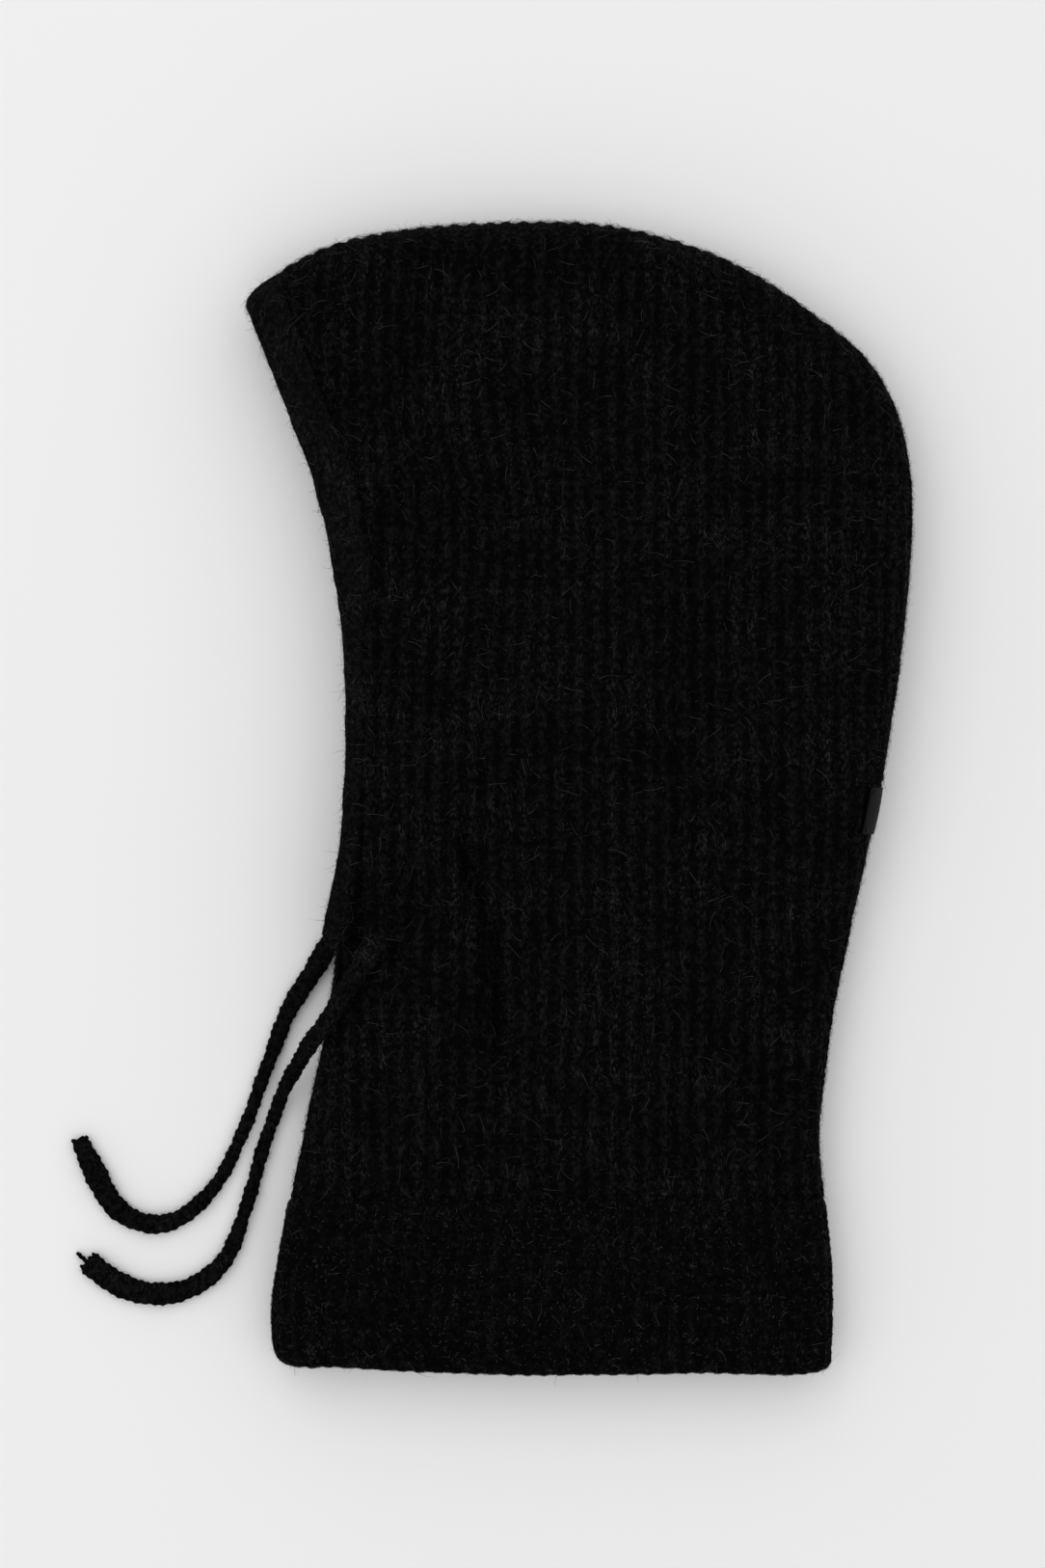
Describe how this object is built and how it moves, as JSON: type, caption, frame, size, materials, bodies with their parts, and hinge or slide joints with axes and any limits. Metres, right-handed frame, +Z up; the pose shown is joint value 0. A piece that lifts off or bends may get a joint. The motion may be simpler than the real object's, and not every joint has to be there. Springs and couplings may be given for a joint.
{
  "type": "balaclava",
  "caption": "Chunky rib-knit hooded balaclava with a folded face casing, a drawcord with two free ends and a deep neck cuff, lying flat on its side.",
  "frame": {"origin": "on the surface that the hood lies on, under the middle of the hood's box without the cord ends", "axes": "+Z up from the surface, +Y from the neck opening to the crown, +X from the face opening to the back of the head"},
  "size_m": [0.3072, 0.42, 0.03],
  "materials": {
    "rib_knit": "matte black fuzzy wool and mohair rib knit",
    "casing_knit": "matte black finer, denser knit of the folded face casing",
    "cuff_knit": "matte black double-ply rib knit",
    "linking_yarn": "matte black linking stitches",
    "cord_knit": "matte black narrow knitted cord with short fuzz",
    "label_cloth": "smooth black woven satin, blank",
    "sewing_thread": "fine black thread"
  },
  "bodies": {
    "hood": {"near_side_panel": "rib_knit", "far_side_panel": "rib_knit", "crown_back_seam": "linking_yarn", "front_neck_seam": "linking_yarn", "face_band": "casing_knit", "face_band_seam": "linking_yarn", "chin_stitches": "linking_yarn", "neck_cuff": "cuff_knit", "cuff_seam": "linking_yarn", "drawcord_in_casing": "cord_knit", "back_label": "label_cloth", "label_stitches": "sewing_thread"},
    "near_cord": {"near_cord_end": "cord_knit", "near_yarn_tail": "linking_yarn"},
    "far_cord": {"far_cord_end": "cord_knit"}
  },
  "joints": [
    {"name": "near_cord_pull", "type": "slide", "parent": "hood", "child": "near_cord", "axis": [-0.484, -0.8751, 0], "range_m": [0, 0.012]},
    {"name": "far_cord_pull", "type": "slide", "parent": "hood", "child": "far_cord", "axis": [-0.4202, -0.9074, 0], "range_m": [0, 0.012]}
  ]
}
